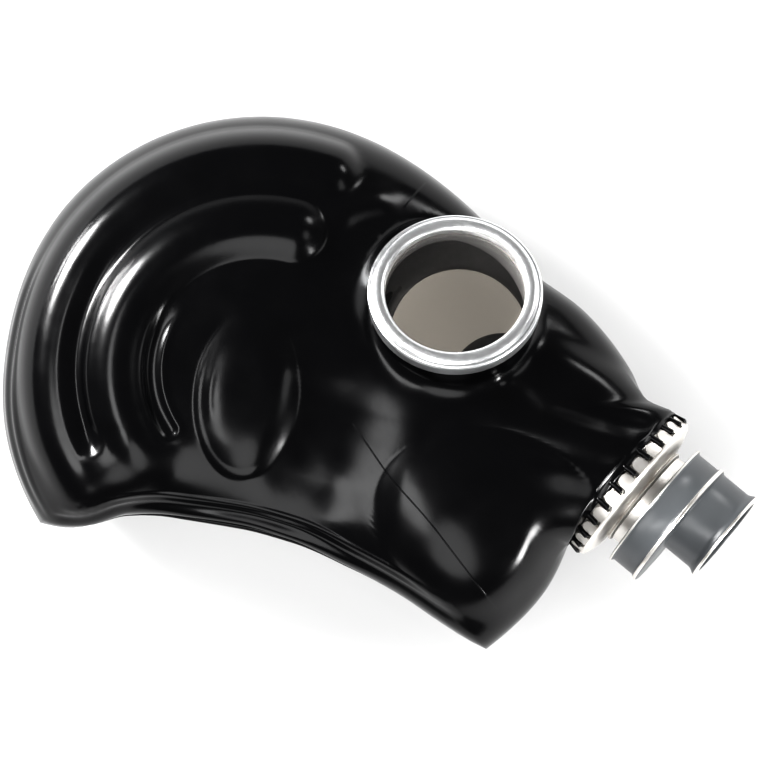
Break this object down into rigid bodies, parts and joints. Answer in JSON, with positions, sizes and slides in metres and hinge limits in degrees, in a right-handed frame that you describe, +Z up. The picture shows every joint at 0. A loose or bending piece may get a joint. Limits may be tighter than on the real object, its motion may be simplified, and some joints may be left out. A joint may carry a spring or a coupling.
{
  "type": "rubber full-head respirator hood",
  "caption": "Hollow black rubber full-head hood with round framed eyepieces, ribbed sides, open neck and a metal valve with an off-centre inlet port, lying on its side.",
  "frame": {"origin": "under the middle of the object's box, on the surface that it lies on", "axes": "+X to the front of the hood, +Y to its crown, +Z up through its right side as it lies"},
  "size_m": [0.3172, 0.2236, 0.1075],
  "materials": {
    "black_rubber": "moulded glossy latex rubber",
    "polished_ring": "spun and polished",
    "clear_pane": "clear polished pane",
    "bright_metal": "pressed, bright",
    "grey_paint": "satin grey enamel"
  },
  "bodies": {
    "root": {"latex_hood": "black_rubber", "eye_ring_right": "polished_ring", "eye_ring_left": "polished_ring", "eye_lens_right": "clear_pane", "eye_lens_left": "clear_pane", "clamp_crown": "bright_metal", "valve_neck": "bright_metal", "valve_box": "grey_paint"}
  },
  "joints": []
}
